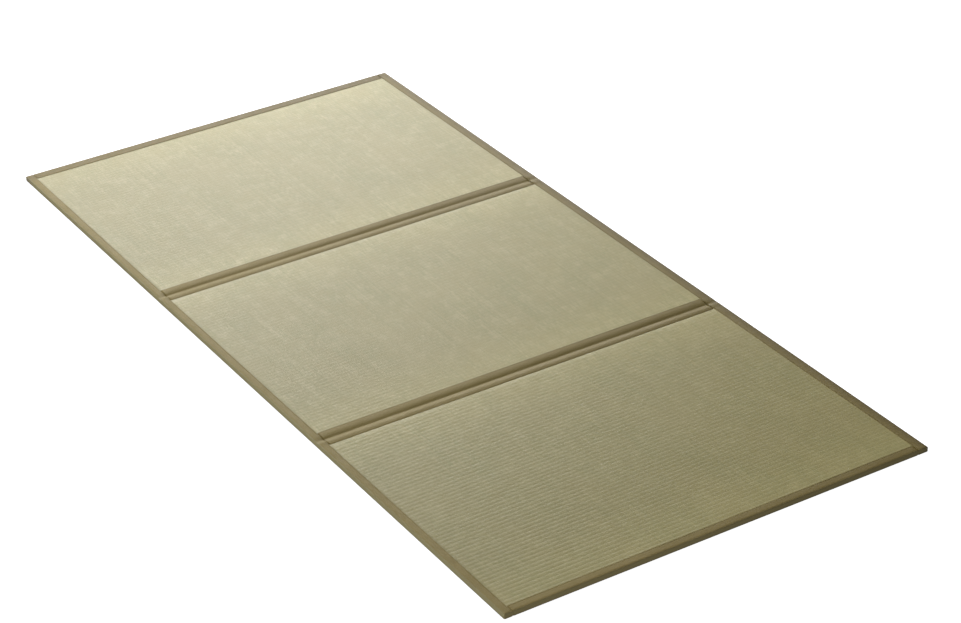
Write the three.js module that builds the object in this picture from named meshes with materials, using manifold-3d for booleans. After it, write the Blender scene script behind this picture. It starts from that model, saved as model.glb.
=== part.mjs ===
// Folding tatami mat, laid open and flat on a floor.
// Three woven rush panels lie end to end along Y, folds run along X, and the floor is at z = 0.
// Cloth binds the two long sides and the two ends, and a cloth band covers each of the two folds.
// Sizes are in millimetres. The origin lies on the floor under the middle of the mat.

import * as THREE from 'three';
import { mergeVertices } from 'three/addons/utils/BufferGeometryUtils.js';
import Module from 'manifold-3d';

// Driving dimensions of the whole mat
const matWidth = 970;
const matLength = 2100;
const panelNames = ['front', 'middle', 'back'];
const rushHeight = 12;

// Binding cloth, seen in section: u runs inwards from the outer edge
const clothThickness = 1;
const fitGap = 0.3;
const bindingWidth = 24;
const crownHeight = 11;
const crownInset = 11;
const seamHeight = 10.2;
const sideTop = 5.2;
const undersideRadius = 3;
const cornerRadius = 6;

// Cloth band over a fold: v runs away from the fold line
const foldBandHalf = 27;
const foldCrownInset = 14;
const cleftHalf = 0.8;
const cleftFloor = 3.6;

// Shallow dip of each side binding where it crosses a fold
const dipDepth = 1.8;
const dipHalf = 9;

// Woven ribs of the rush, which run along X
const ribPitch = 11.4;
const ribDepth = 0.8;
const ribPoints = [[0, 0], [0.3, 1], [0.7, 1]];

// Soft rise of the rush from its seam, as shares of the full rise
const riseWidth = 13;
const riseSteps = [0, 5, 13];

// Smoothness of the rounded parts of a section
const shoulderSteps = 5;
const undersideSteps = 3;
const cleftSteps = 6;
const dipSteps = 5;
const cornerSteps = 5;

// Sizes that follow from the driving dimensions
const halfWidth = matWidth / 2;
const halfLength = matLength / 2;
const panelLength = matLength / panelNames.length;
const foldLines = [-panelLength / 2, panelLength / 2];
const rimInset = clothThickness + fitGap;
const seamUnder = seamHeight - rimInset;
const beyond = 40;

const rushMaterial = { color: 0xb6b08f, roughness: 0.82, metalness: 0 };
const bindingMaterial = { color: 0x8f8462, roughness: 0.93, metalness: 0 };

const wasm = await Module();
wasm.setup();

// Solids for joining and cutting

function toSolid(geometry) {
  const bare = geometry.clone();
  bare.deleteAttribute('normal');
  bare.deleteAttribute('uv');
  const merged = mergeVertices(bare, 1e-4);
  const vertProperties = new Float32Array(merged.attributes.position.array);
  const triVerts = new Uint32Array(merged.index.array);
  return new wasm.Manifold(new wasm.Mesh({ numProp: 3, vertProperties, triVerts }));
}

function toGeometry(solid) {
  const mesh = solid.getMesh();
  const geometry = new THREE.BufferGeometry();
  geometry.setAttribute('position', new THREE.BufferAttribute(mesh.vertProperties, 3));
  geometry.setIndex(new THREE.BufferAttribute(mesh.triVerts, 1));
  geometry.computeVertexNormals();
  return geometry;
}

function extrude(points, depth) {
  const shape = new THREE.Shape(points);
  return new THREE.ExtrudeGeometry(shape, { depth, bevelEnabled: false, steps: 1 });
}

// A section drawn as (x, z), extruded along Y and centred on y = 0
function alongLength(points, length) {
  const geometry = extrude(points, length);
  geometry.rotateX(Math.PI / 2);
  geometry.translate(0, length / 2, 0);
  return geometry;
}

// A section drawn as (y, z), extruded along X and centred on x = 0
function alongWidth(points, width) {
  const geometry = extrude(points, width);
  geometry.rotateX(Math.PI / 2);
  geometry.rotateZ(Math.PI / 2);
  geometry.translate(-width / 2, 0, 0);
  return geometry;
}

function box(xMin, xMax, yMin, yMax, zMin, zMax) {
  const geometry = new THREE.BoxGeometry(xMax - xMin, yMax - yMin, zMax - zMin);
  geometry.translate((xMin + xMax) / 2, (yMin + yMax) / 2, (zMin + zMax) / 2);
  return toSolid(geometry);
}

// Outlines of the cloth in section

// Quarter of an ellipse from angle 0, at the top, to 90 degrees, at the side
function quarter(centreU, centreZ, radiusU, radiusZ, steps) {
  const points = [];
  for (let i = 0; i <= steps; i += 1) {
    const angle = (Math.PI / 2) * (i / steps);
    const u = centreU - radiusU * Math.sin(angle);
    points.push(new THREE.Vector2(u, centreZ + radiusZ * Math.cos(angle)));
  }
  return points;
}

// Slightly domed top of a binding, from its seam to just before its crown
function domedTop(seamInset, crownAt) {
  const middle = (seamInset + crownAt) / 2;
  const middleHeight = crownHeight - (crownHeight - seamHeight) / 4;
  return [new THREE.Vector2(seamInset, seamHeight), new THREE.Vector2(middle, middleHeight)];
}

// Outer face of a binding from its crown to its side, and from its seam to its side
function edgeShoulder() {
  return quarter(crownInset, sideTop, crownInset, crownHeight - sideTop, shoulderSteps);
}

function edgeTop() {
  return [...domedTop(bindingWidth, crownInset), ...edgeShoulder()];
}

// The rest of that face, from the side round to the end of the flap underneath
function edgeUnderside() {
  const upsideDown = quarter(undersideRadius, 0, undersideRadius, undersideRadius, undersideSteps);
  const turned = upsideDown.map((p) => new THREE.Vector2(p.x, undersideRadius - p.y));
  return [...turned.reverse(), new THREE.Vector2(bindingWidth, 0)];
}

// Outer face of a fold band, from its seam down to the floor of the cleft
function foldTop() {
  const fall = crownHeight - cleftFloor;
  const reach = foldCrownInset - cleftHalf;
  const slope = quarter(foldCrownInset, cleftFloor, reach, fall, cleftSteps);
  return [...domedTop(foldBandHalf, foldCrownInset), ...slope];
}

// The same line moved by a distance to its inner side, with mitred bends
function inset(line, distance) {
  const normals = line.slice(1).map((point, i) => {
    const along = point.clone().sub(line[i]).normalize();
    return new THREE.Vector2(-along.y, along.x);
  });
  return line.map((point, i) => {
    const before = normals[Math.max(i - 1, 0)];
    const after = normals[Math.min(i, normals.length - 1)];
    const mitre = before.clone().add(after).multiplyScalar(distance / (1 + before.dot(after)));
    return point.clone().add(mitre);
  });
}

// Height of a line over u, with its points in order of falling u
function heightAt(line, u) {
  if (u >= line[0].x) {
    return line[0].y;
  }
  for (let i = 1; i < line.length; i += 1) {
    if (u >= line[i].x) {
      const share = (u - line[i].x) / (line[i - 1].x - line[i].x);
      return THREE.MathUtils.lerp(line[i].y, line[i - 1].y, share);
    }
  }
  return line[line.length - 1].y;
}

// Block that is as long and wide as the mat, from which the side bindings are cut

// Section with the same edge at both ends of a span, and the points between given
function boundSection(half, edge, distance, middle) {
  const moved = inset(edge, distance);
  const right = moved.map((p) => new THREE.Vector2(half - p.x, p.y));
  const left = moved.map((p) => new THREE.Vector2(p.x - half, p.y));
  return [...left, ...right.reverse(), ...middle];
}

// Top of the block from back to front: clear of the crown, but for a dip at each fold
function dippedTop(distance) {
  const clear = crownHeight + dipDepth;
  const reach = dipHalf * Math.SQRT2;
  const points = [new THREE.Vector2(halfLength - bindingWidth, clear)];
  for (const fold of [...foldLines].reverse()) {
    for (let i = -dipSteps; i <= dipSteps; i += 1) {
      const v = reach * (i / dipSteps);
      const height = crownHeight - dipDepth * (1 - (v / dipHalf) ** 2);
      points.push(new THREE.Vector2(fold - v, height - distance));
    }
  }
  points.push(new THREE.Vector2(bindingWidth - halfLength, clear));
  return points;
}

function roundedPlan(distance) {
  const x = halfWidth - distance;
  const y = halfLength - distance;
  const radius = cornerRadius - distance;
  const points = [];
  for (const [signX, signY, start] of [[1, 1, 0], [-1, 1, 1], [-1, -1, 2], [1, -1, 3]]) {
    for (let i = 0; i <= cornerSteps; i += 1) {
      const angle = (Math.PI / 2) * (start + i / cornerSteps);
      const px = signX * (x - radius) + radius * Math.cos(angle);
      points.push(new THREE.Vector2(px, signY * (y - radius) + radius * Math.sin(angle)));
    }
  }
  const geometry = extrude(points, 2 * beyond);
  geometry.translate(0, 0, -beyond);
  return toSolid(geometry);
}

function boundBlock(distance) {
  const wholeEdge = [...edgeTop(), ...edgeUnderside()];
  const shoulderOnly = [...edgeShoulder(), ...edgeUnderside()];
  const crosswise = boundSection(halfWidth, wholeEdge, distance, []);
  const lengthwise = boundSection(halfLength, shoulderOnly, distance, dippedTop(distance));
  const across = toSolid(alongLength(crosswise, matLength + beyond));
  const along = toSolid(alongWidth(lengthwise, matWidth + beyond));
  return across.intersect(along).intersect(roundedPlan(distance));
}

// Bindings, fold bands and panels

// Side binding, with side -1 for the left and 1 for the right, closed round the mat's corners
function makeSideBinding(side) {
  const shell = boundBlock(0).subtract(boundBlock(clothThickness));
  const inner = side * (halfWidth - bindingWidth);
  const outer = side * (halfWidth + beyond);
  const ends = halfLength + beyond;
  const cut = box(Math.min(inner, outer), Math.max(inner, outer), -ends, ends, -beyond, beyond);
  return toGeometry(shell.intersect(cut));
}

// Strip of cloth that follows a line across the mat, from one side binding to the other
function clothAcross(line) {
  const under = inset(line, clothThickness);
  const width = 2 * (halfWidth - bindingWidth - fitGap);
  return alongWidth([...line, ...under.reverse()], width);
}

// End binding, with end -1 for the front and 1 for the back
function makeEndBinding(end) {
  const geometry = clothAcross([...edgeTop(), ...edgeUnderside()]);
  geometry.translate(0, -halfLength, 0);
  if (end > 0) {
    geometry.rotateZ(Math.PI);
  }
  return geometry;
}

// One strip of cloth that dips into the cleft between two panels
function makeFoldBand(fold) {
  const half = foldTop();
  const geometry = clothAcross([...half, ...mirrored(half)]);
  geometry.translate(0, fold, 0);
  return geometry;
}

function mirrored(line) {
  return line.map((p) => new THREE.Vector2(-p.x, p.y)).reverse();
}

// Triangles between two lines of points that run side by side, always over the shorter diagonal
function strip(first, second) {
  const triangles = [];
  let i = 0;
  let j = 0;
  while (i < first.length - 1 || j < second.length - 1) {
    const toFirst = i < first.length - 1 ? second[j].distanceTo(first[i + 1]) : Infinity;
    const toSecond = j < second.length - 1 ? first[i].distanceTo(second[j + 1]) : Infinity;
    if (toFirst <= toSecond) {
      triangles.push(first[i], second[j], first[i + 1]);
      i += 1;
    } else {
      triangles.push(first[i], second[j], second[j + 1]);
      j += 1;
    }
  }
  return triangles;
}

// Closed solid under a height given on columns along Y, down to the floor
function solidUnder(columns) {
  const down = (point) => new THREE.Vector3(point.x, point.y, 0);
  const first = columns[0];
  const last = columns[columns.length - 1];
  const leftFoot = [down(first[0]), down(first[first.length - 1])];
  const rightFoot = [down(last[0]), down(last[last.length - 1])];
  const frontTop = columns.map((column) => column[0]);
  const backTop = columns.map((column) => column[column.length - 1]);
  const triangles = [
    ...strip(leftFoot, first),
    ...strip(last, rightFoot),
    ...strip(rightFoot, leftFoot),
    ...strip(frontTop, [leftFoot[0], rightFoot[0]]),
    ...strip([leftFoot[1], rightFoot[1]], backTop),
  ];
  for (let i = 1; i < columns.length; i += 1) {
    triangles.push(...strip(columns[i - 1], columns[i]));
  }
  return toSolid(new THREE.BufferGeometry().setFromPoints(triangles));
}

// What a panel meets at one of its ends: a fold band or an end binding
function panelEnd(position, meetsFold) {
  const line = inset(meetsFold ? foldTop() : edgeTop(), rimInset);
  return { position, line, seam: meetsFold ? foldBandHalf : bindingWidth };
}

function rushRise(distanceFromSeam) {
  const share = Math.min(Math.max(distanceFromSeam / riseWidth, 0), 1);
  return 1 - (1 - share) ** 2;
}

// Rows of a panel, as y and the depth of the weave there, from its front seam to its back seam
function ribRows(seamFront, seamBack) {
  const count = Math.round((seamBack - seamFront) / ribPitch);
  const pitch = (seamBack - seamFront) / count;
  const rows = [];
  for (let i = 0; i < count; i += 1) {
    for (const [share, height] of ribPoints) {
      rows.push({ y: seamFront + (i + share) * pitch, sunk: ribDepth * (1 - height) });
    }
  }
  rows.push({ y: seamBack, sunk: ribDepth });
  return rows;
}

function makePanel(index) {
  const frontY = -halfLength + index * panelLength;
  const backY = frontY + panelLength;
  const front = panelEnd(frontY, index > 0);
  const back = panelEnd(backY, index < panelNames.length - 1);
  const side = inset(edgeTop(), rimInset);
  const seamFront = frontY + front.seam;
  const seamBack = backY - back.seam;
  const seamX = halfWidth - bindingWidth;

  const underCloth = (x, y) => Math.min(
    heightAt(side, halfWidth - Math.abs(x)),
    heightAt(front.line, y - frontY),
    heightAt(back.line, backY - y),
  );
  const rushTop = (x, y) => {
    const sideRise = rushRise(seamX - Math.abs(x));
    const endRise = rushRise(Math.min(y - seamFront, seamBack - y));
    return seamUnder + (rushHeight - seamUnder) * sideRise * endRise;
  };

  const frontRim = front.line.map((p) => frontY + p.x).reverse();
  const backRim = back.line.map((p) => backY - p.x);
  const ribs = ribRows(seamFront, seamBack);
  const rimColumn = (x) => [...frontRim, ...backRim]
    .map((y) => new THREE.Vector3(x, y, underCloth(x, y)));
  const rushColumn = (x) => [
    ...frontRim.slice(0, -1).map((y) => new THREE.Vector3(x, y, underCloth(x, y))),
    ...ribs.map(({ y, sunk }) => new THREE.Vector3(x, y, rushTop(x, y) - sunk)),
    ...backRim.slice(1).map((y) => new THREE.Vector3(x, y, underCloth(x, y))),
  ];

  const rimX = side.slice(1).map((p) => halfWidth - p.x).reverse();
  const rushX = riseSteps.map((step) => seamX - step);
  const columns = [
    ...rimX.map((x) => rimColumn(-x)),
    ...rushX.map((x) => rushColumn(-x)),
    ...[...rushX].reverse().map((x) => rushColumn(x)),
    ...[...rimX].reverse().map((x) => rimColumn(x)),
  ];
  const body = solidUnder(columns).intersect(roundedPlan(rimInset));
  return toGeometry(body.subtract(flapRoom()));
}

// Room that the binding's flaps take up under the rim of the mat
function flapRoom() {
  const low = -beyond;
  const flap = inset([...edgeTop(), ...edgeUnderside()], rimInset).slice(edgeTop().length);
  const room = (half) => {
    const inner = half - bindingWidth - fitGap;
    const edge = flap.slice(0, -1).map((p) => new THREE.Vector2(half - p.x, p.y));
    const start = new THREE.Vector2(half + beyond, edge[0].y);
    const under = [new THREE.Vector2(inner, rimInset), new THREE.Vector2(inner, low)];
    return [start, ...edge, ...under, new THREE.Vector2(half + beyond, low)];
  };
  const flip = (line) => line.map((p) => new THREE.Vector2(-p.x, p.y)).reverse();
  const sideRoom = room(halfWidth).reverse();
  const endRoom = room(halfLength).reverse();
  return wasm.Manifold.union([
    toSolid(alongLength(sideRoom, matLength + beyond)),
    toSolid(alongLength(flip(sideRoom), matLength + beyond)),
    toSolid(alongWidth(endRoom, matWidth + beyond)),
    toSolid(alongWidth(flip(endRoom), matWidth + beyond)),
  ]);
}

// The finished mat

const group = new THREE.Group();

function addPiece(name, geometry, finish) {
  const mesh = new THREE.Mesh(geometry, new THREE.MeshStandardMaterial(finish));
  mesh.name = name;
  group.add(mesh);
}

panelNames.forEach((name, index) => {
  addPiece(`rush_panel_${name}`, makePanel(index), rushMaterial);
});
addPiece('binding_left', makeSideBinding(-1), bindingMaterial);
addPiece('binding_right', makeSideBinding(1), bindingMaterial);
addPiece('binding_front', makeEndBinding(-1), bindingMaterial);
addPiece('binding_back', makeEndBinding(1), bindingMaterial);
foldLines.forEach((fold, index) => {
  addPiece(`fold_band_${index === 0 ? 'front' : 'back'}`, makeFoldBand(fold), bindingMaterial);
});

export default group;
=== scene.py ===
"""Looks of a folding tatami mat: woven rush panels, cloth bindings, fold bands and their stitches."""

import math

import bmesh
import bpy
from mathutils import Matrix, Vector, noise


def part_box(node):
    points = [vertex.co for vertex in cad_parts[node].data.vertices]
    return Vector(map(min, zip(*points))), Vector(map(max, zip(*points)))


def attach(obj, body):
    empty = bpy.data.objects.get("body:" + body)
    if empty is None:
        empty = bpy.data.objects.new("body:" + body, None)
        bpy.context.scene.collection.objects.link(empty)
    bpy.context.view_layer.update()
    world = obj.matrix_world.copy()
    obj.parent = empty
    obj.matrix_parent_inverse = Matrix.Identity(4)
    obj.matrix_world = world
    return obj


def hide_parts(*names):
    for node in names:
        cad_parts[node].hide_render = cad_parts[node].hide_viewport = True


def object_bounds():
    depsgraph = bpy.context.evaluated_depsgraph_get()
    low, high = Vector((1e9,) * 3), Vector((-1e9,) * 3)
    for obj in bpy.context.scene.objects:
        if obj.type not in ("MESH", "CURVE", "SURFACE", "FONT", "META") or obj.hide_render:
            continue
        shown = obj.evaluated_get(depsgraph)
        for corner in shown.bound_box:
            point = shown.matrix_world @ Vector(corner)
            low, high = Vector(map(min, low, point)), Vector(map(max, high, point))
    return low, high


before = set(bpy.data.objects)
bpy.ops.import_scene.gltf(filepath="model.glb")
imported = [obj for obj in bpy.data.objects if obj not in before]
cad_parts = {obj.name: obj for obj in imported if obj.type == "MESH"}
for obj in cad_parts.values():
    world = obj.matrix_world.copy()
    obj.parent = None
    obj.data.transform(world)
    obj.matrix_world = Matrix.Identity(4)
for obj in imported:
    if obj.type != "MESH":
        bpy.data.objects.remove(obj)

bl_info = {
    "name": "Folding Tatami Mat",
    "version": (1, 0, 0),
    "blender": (4, 5, 0),
    "location": "3D View > Sidebar > Tatami",
    "description": "Weaves, binds and stitches a folding rush mat around its packed solids",
    "category": "Add Mesh",
}

MILLIMETRE = 0.001
CAD_BOX = [list(corner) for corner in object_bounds()]
PANEL_NAMES = ("front", "middle", "back")
BODY = "root"

# Sizes of the mat, read from its solids

HALF_WIDTH = CAD_BOX[1][0]
HALF_LENGTH = CAD_BOX[1][1]
PANEL_LENGTH = 2 * HALF_LENGTH / len(PANEL_NAMES)
FOLD_LINES = {"front": -PANEL_LENGTH / 2, "back": PANEL_LENGTH / 2}


def node_size(node):
    low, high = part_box(node)
    return high - low


CROWN_HEIGHT = node_size("binding_left").z

# Width of the cloth that shows, from the mat's edge or the fold line to the seam

BINDING_WIDTHS = {
    "left": 17.9 * MILLIMETRE,
    "right": 23.2 * MILLIMETRE,
    "front": 21.2 * MILLIMETRE,
    "back": 27.1 * MILLIMETRE,
}
FOLD_FRONT_REACH = 26.8 * MILLIMETRE
FOLD_BACK_REACH = 24.5 * MILLIMETRE
LEFT_SEAM = -HALF_WIDTH + BINDING_WIDTHS["left"]
RIGHT_SEAM = HALF_WIDTH - BINDING_WIDTHS["right"]

# Shape of the cloth in section

CLOTH = 0.7 * MILLIMETRE
CROWN_INSET = 7 * MILLIMETRE
SIDE_TOP = 9.2 * MILLIMETRE
SEAM_DROP = 0.25 * MILLIMETRE
UNDER_RADIUS = 1.3 * MILLIMETRE
STITCH_INSET = 2.2 * MILLIMETRE
STITCH_GROOVE = 0.13 * MILLIMETRE
GROOVE_WIDTH = 0.9 * MILLIMETRE
STITCH_LIFT = 0.05 * MILLIMETRE
TUCK = 1.5 * MILLIMETRE
TUCK_LENGTH = 5 * MILLIMETRE
CLEFT_FLOOR = 8.55 * MILLIMETRE
CORNER_POWER = 6

# Shape of the rush in section

RIM_INSET = 1.4 * MILLIMETRE
PANEL_START = 1.2 * MILLIMETRE
FLAP_CLEARANCE = 0.3 * MILLIMETRE
RUSH_SEAM = 10.45 * MILLIMETRE
RUSH_HEIGHT = 10.65 * MILLIMETRE
LAST_DIP_SHARE = 0.5

# Spacing of the rows and columns of the meshes

SEAM_STEPS = (0, 0.5, 1.4, 2.2, 3.0, 3.9)
CROWN_STEPS = 10
CORNER_STEPS = 8
UNDER_STEPS = 4
ACROSS_STEP = 12 * MILLIMETRE
SIDE_STEP = 14 * MILLIMETRE
FOLD_STEP = 2 * MILLIMETRE
FOLD_ROWS = 17
LINE_STEP = 2 * MILLIMETRE
WELD = 1e-6

# Unevenness of the cloth: waves per metre, the step from point to point, and a salt for each noise

LIFT_WAVES = 9.0
BAND_SWAY_WAVES = 5.0
SIDE_SWAY_WAVES = 7.0
LIFT_POINT_STEP = 4 * MILLIMETRE
SWAY_POINT_STEP = 2 * MILLIMETRE
SIDE_LIFT_SALT = 3.0
SIDE_SWAY_SALT = 5.0
BAND_SWAY_SALT = 9.0
END_SALT = 20.0
FOLD_SALT = 30.0

# Unevenness of the rush: waves per metre, and how far in from the seams it grows

BROAD_WAVES = 7.0
RIB_WAVES = 14.0
SWELL_EDGE = 12 * MILLIMETRE
SEAM_TOLERANCE = 0.01 * MILLIMETRE

# Colour changes: how far from an edge, the crown or the floor each reaches. Rubbing on the crown is
# wear, the cloth is greyer and darker near its rims, a painted shadow darkens its foot, and a painted
# highlight lightens the ends of the rush panels

RUBBED_BELOW = 0.7 * MILLIMETRE
RUBBED_ABOVE = 0.3 * MILLIMETRE
DARK_RIM_START = 4 * MILLIMETRE
DARK_RIM_WIDTH = 20 * MILLIMETRE
GREY_RIM_WIDTH = 5 * MILLIMETRE
FOOT_SHADE_HEIGHT = 5 * MILLIMETRE
END_HIGHLIGHT_START = 190 * MILLIMETRE
END_HIGHLIGHT_FULL = 20 * MILLIMETRE

# Relief of the rush and of the threads, their width, and where the underside starts on the cloth's map

RUSH_GRAIN = 0.15 * MILLIMETRE
CLOTH_GRAIN = 0.05 * MILLIMETRE
CLOTH_THREAD = 0.55 * MILLIMETRE
SEWING_FIBRE = 0.3 * MILLIMETRE
UNDERSIDE_MAP = -30 * MILLIMETRE

# Top of a fold band in millimetres, from its front seam over its cleft at 0 to its back seam

FOLD_TOP = (
    (-26.8, 10.3), (-25, 10.42), (-22.8, 10.6), (-20, 10.85), (-17, 11.0), (-14, 10.85),
    (-11.5, 10.45), (-9, 9.85), (-7, 9.3), (-5, 8.85), (-3, 8.55), (-1, 8.65), (1.5, 9.2),
    (4.5, 9.9), (8, 10.4), (12, 10.8), (16.5, 10.95), (21, 10.9), (23, 10.85), (24.5, 10.75),
)

# How far a side binding rises or dips at its seam over a fold, in millimetres

FOLD_RELIEF = (
    (-33, 0), (-27.5, -0.25), (-22, 0.0), (-16, 0.2), (-12, 0.0), (-8, -0.8), (-5, -1.6),
    (-2.5, -1.9), (0.5, -1.6), (5, -0.8), (10, -0.1), (18, 0.1), (24.5, -0.1), (30, 0),
)
EDGE_RELIEF = 0.25


def length(name, description, default):
    return bpy.props.FloatProperty(
        name=name, description=description, default=default, unit="LENGTH", precision=5)


def tint(name, description, default):
    return bpy.props.FloatVectorProperty(
        name=name, description=description, default=default, subtype="COLOR", size=3)


class TatamiSizes(bpy.types.PropertyGroup):
    """Sizes of the weave and of the sewing."""

    rib_pitch: length("Rib pitch", "Distance between two ribs of the weave", 11.45 * MILLIMETRE)
    rib_depth: length("Rib depth", "How far the weave dips between two ribs", 0.12 * MILLIMETRE)
    rib_fade: bpy.props.FloatProperty(
        name="Rib fade", description="How much flatter the ribs are on the right than on the left",
        default=0.7, subtype="FACTOR", min=0.0, max=1.0)
    strand: length("Strand width", "Width of one rush strand", 1.4 * MILLIMETRE)
    edge_rise: length(
        "Edge rise", "Width of the short rise of the rush at its seams", 3 * MILLIMETRE)
    back_rise: length(
        "Back rise", "Width of the longer rise at the back seam of each panel", 20 * MILLIMETRE)
    back_dip: length(
        "Back dip", "How much lower the rush lies at the back seam of each panel", 0.5 * MILLIMETRE)
    uneven: length(
        "Unevenness", "How far the rush and the cloth wander from their even shape", 0.3 * MILLIMETRE)
    stitch_pitch: length("Stitch pitch", "Distance between two stitches", 4.6 * MILLIMETRE)
    stitch_length: length("Stitch length", "Length of one stitch that shows", 3.4 * MILLIMETRE)
    thread: length("Thread", "Thickness of the sewing thread", 0.6 * MILLIMETRE)
    seed: bpy.props.IntProperty(name="Seed", description="Seed of every random tone", default=7)


class TatamiColours(bpy.types.PropertyGroup):
    """Colours of the rush, the cloth, the thread and the floor."""

    rush: tint("Rush", "Main colour of the dried rush", (0.487, 0.418, 0.174))
    rush_pale: tint("Pale rush", "Colour of the palest strands", (0.565, 0.488, 0.22))
    rush_green: tint("Green rush", "Colour of the strands that kept some green", (0.41, 0.38, 0.155))
    rush_tan: tint("Tan rush", "Colour of the ripest strands", (0.45, 0.363, 0.143))
    cloth: tint("Binding cloth", "Main colour of the binding cloth", (0.37, 0.277, 0.074))
    # Painted shade: the dark cloth colour is laid where the threads dip.
    cloth_thread_shade: tint("Dark cloth", "Colour of the cloth between its threads", (0.26, 0.193, 0.05))
    thread: tint("Thread", "Colour of the sewing thread", (0.33, 0.255, 0.08))
    floor: tint("Floor", "Colour of the floor", (0.9, 0.9, 0.9))


# Node graphs, written as expressions


class Wire:
    """A number that comes out of a socket. Each operator adds the Math node that works it out."""

    def __init__(self, graph, socket):
        self.graph = graph
        self.socket = socket

    def __add__(self, other):
        return self.graph.math("ADD", self, other)

    def __sub__(self, other):
        return self.graph.math("SUBTRACT", self, other)

    def __rsub__(self, other):
        return self.graph.math("SUBTRACT", other, self)

    def __mul__(self, other):
        return self.graph.math("MULTIPLY", self, other)

    def __truediv__(self, other):
        return self.graph.math("DIVIDE", self, other)

    def __pow__(self, other):
        return self.graph.math("POWER", self, other)

    __radd__ = __add__
    __rmul__ = __mul__


class Graph:
    """A node tree and the few ways in which this script adds to it."""

    def __init__(self, tree):
        self.tree = tree

    def node(self, kind, settings, inputs):
        """Adds one node: its settings first, then the values or links of its sockets."""
        made = self.tree.nodes.new(kind)
        for name, value in settings.items():
            setattr(made, name, value)
        for key, value in inputs.items():
            self.feed(made.inputs[key], value)
        return made

    def feed(self, socket, value):
        source = value.socket if isinstance(value, Wire) else value
        if isinstance(source, bpy.types.NodeSocket):
            self.tree.links.new(source, socket)
        else:
            socket.default_value = source

    def wire(self, node, output=0):
        return Wire(self, node.outputs[output])

    def math(self, operation, *values):
        return self.wire(self.node("ShaderNodeMath", {"operation": operation}, dict(enumerate(values))))

    def clamp(self, value):
        made = self.node("ShaderNodeMath", {"operation": "ADD", "use_clamp": True}, {0: value, 1: 0.0})
        return self.wire(made)

    def smooth(self, value, low, high):
        """0 where value is under low, 1 over high, with a soft step between."""
        settings = {"interpolation_type": "SMOOTHSTEP"}
        inputs = {"Value": value, "From Min": low, "From Max": high}
        return self.wire(self.node("ShaderNodeMapRange", settings, inputs))

    def parts(self, vector):
        made = self.node("ShaderNodeSeparateXYZ", {}, {0: vector})
        return [self.wire(made, i) for i in range(3)]

    def join(self, x, y, z):
        return self.node("ShaderNodeCombineXYZ", {}, {0: x, 1: y, 2: z}).outputs[0]

    def scaled(self, vector, factors):
        made = self.node("ShaderNodeVectorMath", {"operation": "MULTIPLY"}, {0: vector, 1: factors})
        return made.outputs[0]

    def noise(self, vector, scale, detail=2.0):
        inputs = {"Vector": vector, "Scale": scale, "Detail": detail}
        return self.wire(self.node("ShaderNodeTexNoise", {}, inputs))

    def random(self, vector):
        made = self.node("ShaderNodeTexWhiteNoise", {"noise_dimensions": "3D"}, {"Vector": vector})
        return self.wire(made)

    def blend(self, factor, first, second, blend_type="MIX"):
        """Mixes two colours."""
        settings = {"data_type": "RGBA", "blend_type": blend_type}
        made = self.node("ShaderNodeMix", settings, {"Factor": factor, 6: first, 7: second})
        return made.outputs[2]

    def shaded(self, colour, red, green, blue):
        """Multiplies each channel of a colour by a number."""
        shade = self.node("ShaderNodeCombineColor", {}, {0: red, 1: green, 2: blue})
        return self.blend(1.0, colour, shade.outputs[0], "MULTIPLY")

    def object_place(self):
        return self.node("ShaderNodeTexCoord", {}, {}).outputs["Object"]


def rgba(colour):
    return (*colour, 1.0)


def new_material(name):
    material = bpy.data.materials.new(name)
    material.use_nodes = True
    material.node_tree.nodes.clear()
    return material, Graph(material.node_tree)


def finish_material(graph, colour, roughness, height, bump_distance, constants):
    """Puts colour, roughness and bump on one shader and sends it to the output."""
    relief = {"Strength": 1.0, "Distance": bump_distance, "Height": height}
    bump = graph.node("ShaderNodeBump", {}, relief)
    inputs = {"Base Color": colour, "Roughness": roughness, "Normal": bump.outputs[0], **constants}
    shader = graph.node("ShaderNodeBsdfPrincipled", {}, inputs)
    graph.node("ShaderNodeOutputMaterial", {}, {"Surface": shader.outputs[0]})


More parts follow.
